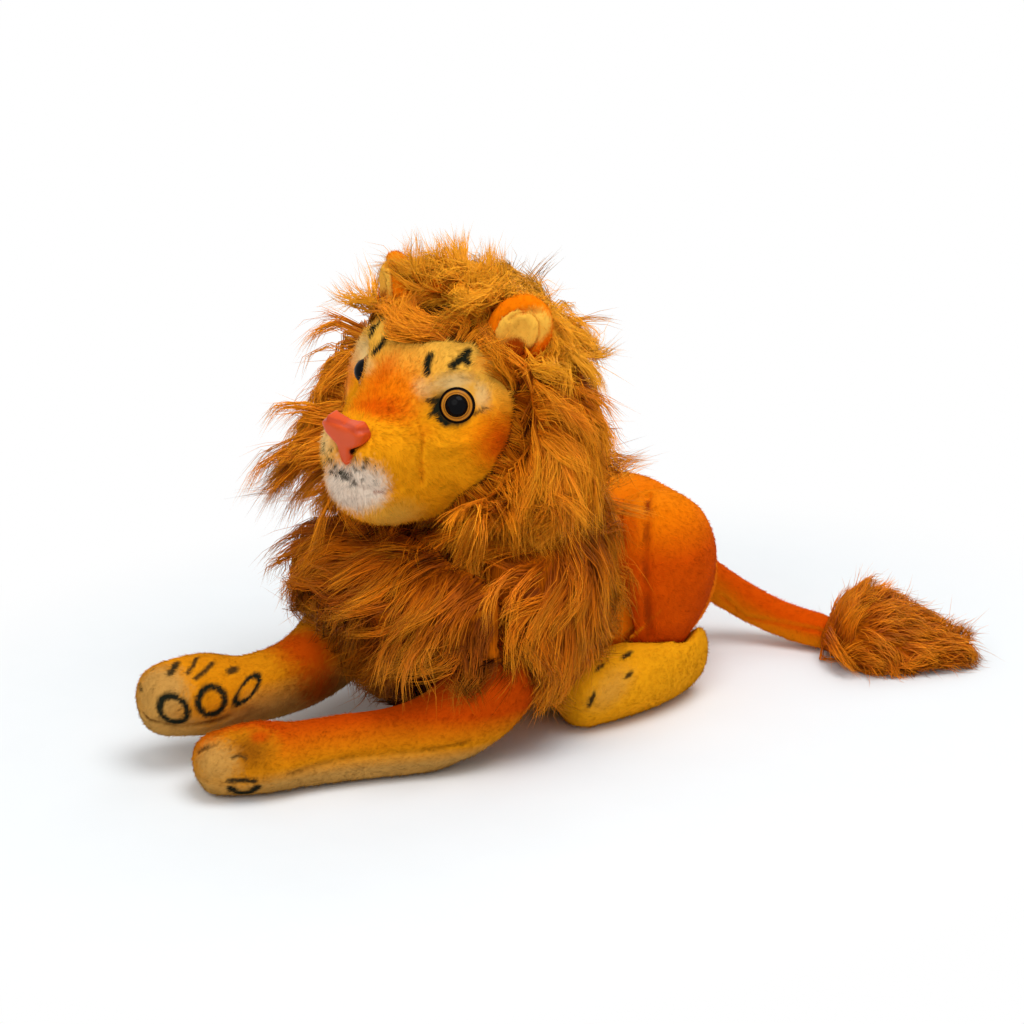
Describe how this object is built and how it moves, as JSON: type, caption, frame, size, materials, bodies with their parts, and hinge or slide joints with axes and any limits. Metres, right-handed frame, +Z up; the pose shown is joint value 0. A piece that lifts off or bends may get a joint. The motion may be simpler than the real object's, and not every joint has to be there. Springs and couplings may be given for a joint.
{
  "type": "plush lion",
  "caption": "Stuffed toy lion lying down, with a long-pile mane and tail tuft; the head turns and nods, and the front legs and tail flex at their seams.",
  "frame": {"origin": "on the floor, in the middle of the flat stretch of the belly that the toy rests on", "axes": "+X towards the lion's head and front paws, +Y to the lion's own left, +Z up"},
  "size_m": [0.3817, 0.1801, 0.2063],
  "materials": {
    "orange_plush": "short pile",
    "amber_plush": "short pile",
    "yellow_plush": "short pile",
    "tan_plush": "short pile",
    "golden_brown_fur": "long pile",
    "salmon_plastic": "satin",
    "dark_eye_plastic": "glossy",
    "white_washer_plastic": "satin"
  },
  "bodies": {
    "torso": {"torso": "orange_plush", "haunch_left": "orange_plush", "haunch_right": "orange_plush", "hind_foot_left": "yellow_plush", "hind_foot_right": "yellow_plush", "mane_chest": "golden_brown_fur", "mane_shoulder_left": "golden_brown_fur", "mane_shoulder_right": "golden_brown_fur"},
    "neck": {"neck": "orange_plush"},
    "head": {"head": "yellow_plush", "nose": "salmon_plastic", "nose_washer": "white_washer_plastic", "eye_left": "dark_eye_plastic", "eye_right": "dark_eye_plastic", "eye_washer_left": "white_washer_plastic", "eye_washer_right": "white_washer_plastic", "ear_left": "orange_plush", "ear_right": "orange_plush", "ear_lining_left": "yellow_plush", "ear_lining_right": "yellow_plush", "mane_crown": "golden_brown_fur", "mane_nape": "golden_brown_fur", "mane_cheek_left": "golden_brown_fur", "mane_cheek_right": "golden_brown_fur"},
    "foreleg_left": {"foreleg_left": "orange_plush", "forepaw_left": "amber_plush", "forepaw_sole_left": "tan_plush"},
    "foreleg_right": {"foreleg_right": "orange_plush", "forepaw_right": "amber_plush", "forepaw_sole_right": "tan_plush"},
    "tail": {"tail": "orange_plush", "tail_tuft": "golden_brown_fur"}
  },
  "joints": [
    {"name": "head_turn", "type": "hinge", "parent": "torso", "child": "neck", "pos_m": [0.02203, 0, 0.112], "axis": [0.342, 0, 0.9397], "range_deg": [-20, 20], "stiffness_Nm_per_rad": 0.6},
    {"name": "head_nod", "type": "hinge", "parent": "neck", "child": "head", "pos_m": [0.02203, 0, 0.112], "axis": [0, 1, 0], "range_deg": [-6, 6], "stiffness_Nm_per_rad": 2.5},
    {"name": "foreleg_left_lift", "type": "hinge", "parent": "torso", "child": "foreleg_left", "pos_m": [0.0392, 0.04512, 0.051], "axis": [0, -1, 0], "range_deg": [0, 10], "stiffness_Nm_per_rad": 0.8},
    {"name": "foreleg_right_lift", "type": "hinge", "parent": "torso", "child": "foreleg_right", "pos_m": [0.0392, -0.04512, 0.051], "axis": [0, -1, 0], "range_deg": [-10, 5], "stiffness_Nm_per_rad": 0.8},
    {"name": "tail_swing", "type": "hinge", "parent": "torso", "child": "tail", "pos_m": [-0.10362, 0, 0.04488], "axis": [0, 0, 1], "range_deg": [-15, 15], "stiffness_Nm_per_rad": 0.15}
  ]
}
